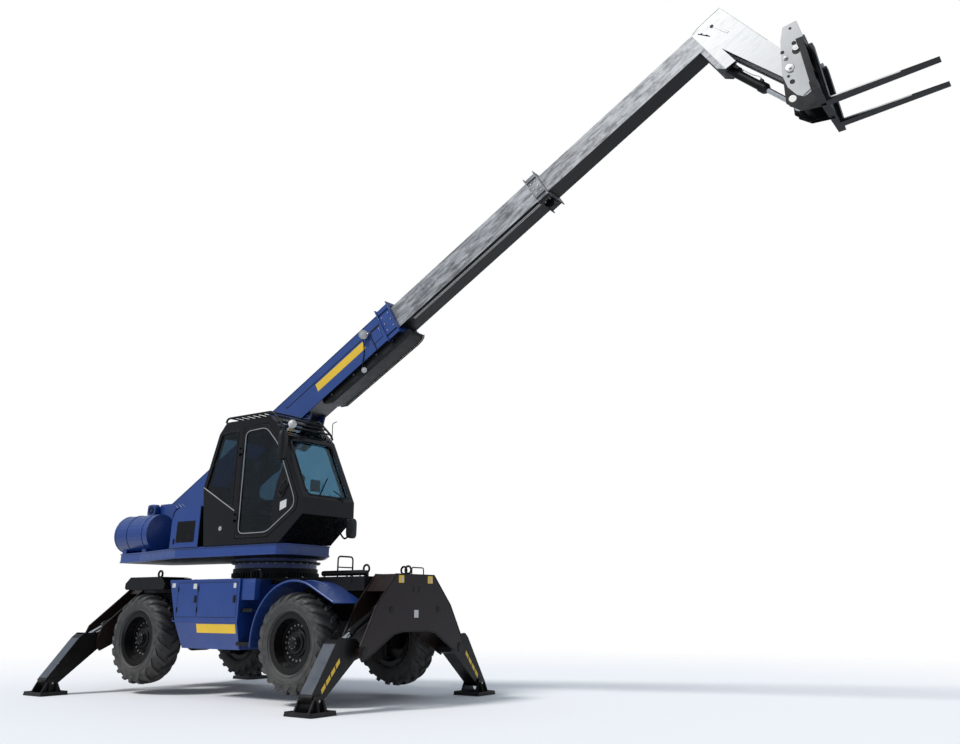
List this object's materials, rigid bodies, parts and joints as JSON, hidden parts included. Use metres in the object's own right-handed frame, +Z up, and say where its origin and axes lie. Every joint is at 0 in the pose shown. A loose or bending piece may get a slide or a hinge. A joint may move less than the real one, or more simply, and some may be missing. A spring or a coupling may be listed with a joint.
{
  "type": "telehandler",
  "caption": "Rotating telescopic handler on four stabilisers with a three-section boom and pallet forks",
  "frame": {"origin": "centre of the bounding box on the ground, under the stabiliser pads", "axes": "+X forward along the boom, +Y to the machine's left, +Z up"},
  "size_m": [13.0969, 4.26, 8.4112],
  "materials": {
    "black_paint": "satin black paint",
    "blue_paint": "gloss royal blue paint",
    "boom_steel": "worn silver-grey paint",
    "chrome_rod": "polished chrome",
    "dark_steel": "dark paint over castings",
    "glass": "light blue tinted glass",
    "seat_vinyl": "black vinyl",
    "tyre": "matte black rubber"
  },
  "bodies": {
    "boom_inner": {"boom_inner": "boom_steel"},
    "boom_middle": {"boom_middle": "boom_steel"},
    "boom_outer": {"boom_outer": "blue_paint"},
    "cab_door": {"cab_door": "black_paint", "door_glass": "glass"},
    "turret": {"cab_shell": "black_paint", "engine_block": "dark_steel", "rear_tank": "blue_paint", "seat": "seat_vinyl", "turret_frame": "blue_paint", "windscreen": "glass"},
    "chassis": {"chassis_frame": "dark_steel", "front_axle": "dark_steel", "front_fender_left": "blue_paint", "front_fender_right": "blue_paint", "front_stabiliser_frame": "black_paint", "rear_axle": "dark_steel", "rear_fender_left": "black_paint", "rear_fender_right": "black_paint", "rear_stabiliser_frame": "black_paint", "side_box_left": "blue_paint", "side_box_right": "blue_paint"},
    "engine_cover": {"engine_cover": "blue_paint"},
    "carriage": {"fork_carriage": "black_paint", "fork_left": "black_paint", "fork_right": "black_paint"},
    "knuckle_front_left": {"knuckle_front_left": "dark_steel"},
    "knuckle_front_right": {"knuckle_front_right": "dark_steel"},
    "knuckle_rear_left": {"knuckle_rear_left": "dark_steel"},
    "knuckle_rear_right": {"knuckle_rear_right": "dark_steel"},
    "leg_barrel_front_left": {"leg_barrel_front_left": "dark_steel"},
    "leg_barrel_front_right": {"leg_barrel_front_right": "dark_steel"},
    "leg_barrel_rear_left": {"leg_barrel_rear_left": "dark_steel"},
    "leg_barrel_rear_right": {"leg_barrel_rear_right": "dark_steel"},
    "leg_front_left": {"leg_front_left": "black_paint"},
    "leg_front_right": {"leg_front_right": "black_paint"},
    "leg_rear_left": {"leg_rear_left": "black_paint"},
    "leg_rear_right": {"leg_rear_right": "black_paint"},
    "leg_rod_front_left": {"leg_rod_front_left": "chrome_rod"},
    "leg_rod_front_right": {"leg_rod_front_right": "chrome_rod"},
    "leg_rod_rear_left": {"leg_rod_rear_left": "chrome_rod"},
    "leg_rod_rear_right": {"leg_rod_rear_right": "chrome_rod"},
    "lift_barrel": {"lift_barrel": "dark_steel"},
    "lift_rod": {"lift_rod": "chrome_rod"},
    "pad_front_left": {"pad_front_left": "black_paint"},
    "pad_front_right": {"pad_front_right": "black_paint"},
    "pad_rear_left": {"pad_rear_left": "black_paint"},
    "pad_rear_right": {"pad_rear_right": "black_paint"},
    "wheel_front_left": {"rim_front_left": "black_paint", "tyre_front_left": "tyre"},
    "wheel_front_right": {"rim_front_right": "black_paint", "tyre_front_right": "tyre"},
    "wheel_rear_left": {"rim_rear_left": "black_paint", "tyre_rear_left": "tyre"},
    "wheel_rear_right": {"rim_rear_right": "black_paint", "tyre_rear_right": "tyre"},
    "tilt_barrel": {"tilt_barrel": "dark_steel"},
    "tilt_rod": {"tilt_rod": "chrome_rod"}
  },
  "joints": [
    {"name": "steer_front_right", "type": "hinge", "parent": "chassis", "child": "knuckle_front_right", "pos_m": [-1.87898, -0.7, 0.703], "axis": [0, 0, 1], "range_deg": [-18, 18]},
    {"name": "spin_front_right", "type": "hinge", "parent": "knuckle_front_right", "child": "wheel_front_right", "pos_m": [-1.87898, -0.99, 0.703], "axis": [0, 1, 0], "continuous": true},
    {"name": "steer_front_left", "type": "hinge", "parent": "chassis", "child": "knuckle_front_left", "pos_m": [-1.87898, 0.7, 0.703], "axis": [0, 0, 1], "range_deg": [-18, 18]},
    {"name": "spin_front_left", "type": "hinge", "parent": "knuckle_front_left", "child": "wheel_front_left", "pos_m": [-1.87898, 0.99, 0.703], "axis": [0, 1, 0], "continuous": true},
    {"name": "steer_rear_right", "type": "hinge", "parent": "chassis", "child": "knuckle_rear_right", "pos_m": [-4.93898, -0.7, 0.703], "axis": [0, 0, 1], "range_deg": [-18, 18]},
    {"name": "spin_rear_right", "type": "hinge", "parent": "knuckle_rear_right", "child": "wheel_rear_right", "pos_m": [-4.93898, -0.99, 0.703], "axis": [0, 1, 0], "continuous": true},
    {"name": "steer_rear_left", "type": "hinge", "parent": "chassis", "child": "knuckle_rear_left", "pos_m": [-4.93898, 0.7, 0.703], "axis": [0, 0, 1], "range_deg": [-18, 18]},
    {"name": "spin_rear_left", "type": "hinge", "parent": "knuckle_rear_left", "child": "wheel_rear_left", "pos_m": [-4.93898, 0.99, 0.703], "axis": [0, 1, 0], "continuous": true},
    {"name": "leg_front_right", "type": "hinge", "parent": "chassis", "child": "leg_front_right", "pos_m": [-1.00898, -1, 0.62], "axis": [-1, 0, 0], "range_deg": [0, 45]},
    {"name": "pad_front_right", "type": "hinge", "parent": "leg_front_right", "child": "pad_front_right", "pos_m": [-1.00898, -1.655, 0.15], "axis": [-1, 0, 0], "range_deg": [-12, 12]},
    {"name": "leg_cylinder_front_right", "type": "hinge", "parent": "chassis", "child": "leg_barrel_front_right", "pos_m": [-1.00898, -0.5, 1.085], "axis": [-1, 0, 0], "range_deg": [0, 9]},
    {"name": "leg_rod_front_right", "type": "slide", "parent": "leg_barrel_front_right", "child": "leg_rod_front_right", "axis": [0, -0.898, -0.4401], "range_m": [-0.188, 0]},
    {"name": "leg_front_left", "type": "hinge", "parent": "chassis", "child": "leg_front_left", "pos_m": [-1.00898, 1, 0.62], "axis": [1, 0, 0], "range_deg": [0, 45]},
    {"name": "pad_front_left", "type": "hinge", "parent": "leg_front_left", "child": "pad_front_left", "pos_m": [-1.00898, 1.655, 0.15], "axis": [1, 0, 0], "range_deg": [-12, 12]},
    {"name": "leg_cylinder_front_left", "type": "hinge", "parent": "chassis", "child": "leg_barrel_front_left", "pos_m": [-1.00898, 0.5, 1.085], "axis": [1, 0, 0], "range_deg": [0, 9]},
    {"name": "leg_rod_front_left", "type": "slide", "parent": "leg_barrel_front_left", "child": "leg_rod_front_left", "axis": [0, 0.898, -0.4401], "range_m": [-0.188, 0]},
    {"name": "leg_rear_right", "type": "hinge", "parent": "chassis", "child": "leg_rear_right", "pos_m": [-5.80898, -1.22, 0.62], "axis": [-1, 0, 0], "range_deg": [0, 45]},
    {"name": "pad_rear_right", "type": "hinge", "parent": "leg_rear_right", "child": "pad_rear_right", "pos_m": [-5.80898, -1.92, 0.15], "axis": [-1, 0, 0], "range_deg": [-12, 12]},
    {"name": "leg_cylinder_rear_right", "type": "hinge", "parent": "chassis", "child": "leg_barrel_rear_right", "pos_m": [-5.80898, -0.62, 1.1], "axis": [-1, 0, 0], "range_deg": [0, 8]},
    {"name": "leg_rod_rear_right", "type": "slide", "parent": "leg_barrel_rear_right", "child": "leg_rod_rear_right", "axis": [0, -0.9019, -0.432], "range_m": [-0.169, 0]},
    {"name": "leg_rear_left", "type": "hinge", "parent": "chassis", "child": "leg_rear_left", "pos_m": [-5.80898, 1.22, 0.62], "axis": [1, 0, 0], "range_deg": [0, 45]},
    {"name": "pad_rear_left", "type": "hinge", "parent": "leg_rear_left", "child": "pad_rear_left", "pos_m": [-5.80898, 1.92, 0.15], "axis": [1, 0, 0], "range_deg": [-12, 12]},
    {"name": "leg_cylinder_rear_left", "type": "hinge", "parent": "chassis", "child": "leg_barrel_rear_left", "pos_m": [-5.80898, 0.62, 1.1], "axis": [1, 0, 0], "range_deg": [0, 8]},
    {"name": "leg_rod_rear_left", "type": "slide", "parent": "leg_barrel_rear_left", "child": "leg_rod_rear_left", "axis": [0, 0.9019, -0.432], "range_m": [-0.169, 0]},
    {"name": "slew", "type": "hinge", "parent": "chassis", "child": "turret", "pos_m": [-3.40898, 0, 0], "axis": [0, 0, 1], "continuous": true},
    {"name": "boom_lift", "type": "hinge", "parent": "turret", "child": "boom_outer", "pos_m": [-5.95898, 0.15, 2.38], "axis": [0, -1, 0], "range_deg": [-29, 35]},
    {"name": "boom_extend_middle", "type": "slide", "parent": "boom_outer", "child": "boom_middle", "axis": [0.8688, 0, 0.4952], "range_m": [-2.7, 0]},
    {"name": "boom_extend_inner", "type": "slide", "parent": "boom_middle", "child": "boom_inner", "axis": [0.8688, 0, 0.4952], "range_m": [-2.7, 0]},
    {"name": "lift_swing", "type": "hinge", "parent": "turret", "child": "lift_barrel", "pos_m": [-5.60898, 0.15, 2.02], "axis": [0, -1, 0], "range_deg": [-31, 37]},
    {"name": "lift_slide", "type": "slide", "parent": "lift_barrel", "child": "lift_rod", "axis": [0.8572, 0, 0.515], "range_m": [-0.238, 0.285]},
    {"name": "carriage_tilt", "type": "hinge", "parent": "boom_inner", "child": "carriage", "pos_m": [4.97389, 0.15, 7.14916], "axis": [0, 1, 0], "range_deg": [-45, 50]},
    {"name": "tilt_swing", "type": "hinge", "parent": "boom_inner", "child": "tilt_barrel", "pos_m": [4.16812, 0.15, 7.55319], "axis": [0, 1, 0], "range_deg": [-13, 14]},
    {"name": "tilt_slide", "type": "slide", "parent": "tilt_barrel", "child": "tilt_rod", "axis": [0.6807, 0, -0.7325], "range_m": [-0.288, 0.26]},
    {"name": "door", "type": "hinge", "parent": "turret", "child": "cab_door", "pos_m": [-3.12398, -1.165, 2.7], "axis": [0, 0, -1], "range_deg": [0, 95]},
    {"name": "engine_cover", "type": "hinge", "parent": "turret", "child": "engine_cover", "pos_m": [-3.87898, 0, 2.48], "axis": [0, 1, 0], "range_deg": [0, 60]}
  ],
  "couplings": [
    {"joint": "steer_front_left", "follows": "steer_front_right", "ratio": 1},
    {"joint": "steer_rear_left", "follows": "steer_rear_right", "ratio": 1},
    {"joint": "leg_cylinder_front_right", "follows": "leg_front_right", "ratio": 0.15917},
    {"joint": "leg_rod_front_right", "follows": "leg_front_right", "m_per_rad": -0.23342},
    {"joint": "leg_cylinder_front_left", "follows": "leg_front_left", "ratio": 0.15917},
    {"joint": "leg_rod_front_left", "follows": "leg_front_left", "m_per_rad": -0.23342},
    {"joint": "leg_cylinder_rear_right", "follows": "leg_rear_right", "ratio": 0.13531},
    {"joint": "leg_rod_rear_right", "follows": "leg_rear_right", "m_per_rad": -0.20911},
    {"joint": "leg_cylinder_rear_left", "follows": "leg_rear_left", "ratio": 0.13531},
    {"joint": "leg_rod_rear_left", "follows": "leg_rear_left", "m_per_rad": -0.20911},
    {"joint": "boom_extend_inner", "follows": "boom_extend_middle", "ratio": 1},
    {"joint": "lift_swing", "follows": "boom_lift", "ratio": 1.0276},
    {"joint": "lift_slide", "follows": "boom_lift", "m_per_rad": 0.44985},
    {"joint": "tilt_swing", "follows": "carriage_tilt", "ratio": 0.24665},
    {"joint": "tilt_slide", "follows": "carriage_tilt", "m_per_rad": -0.3183}
  ]
}
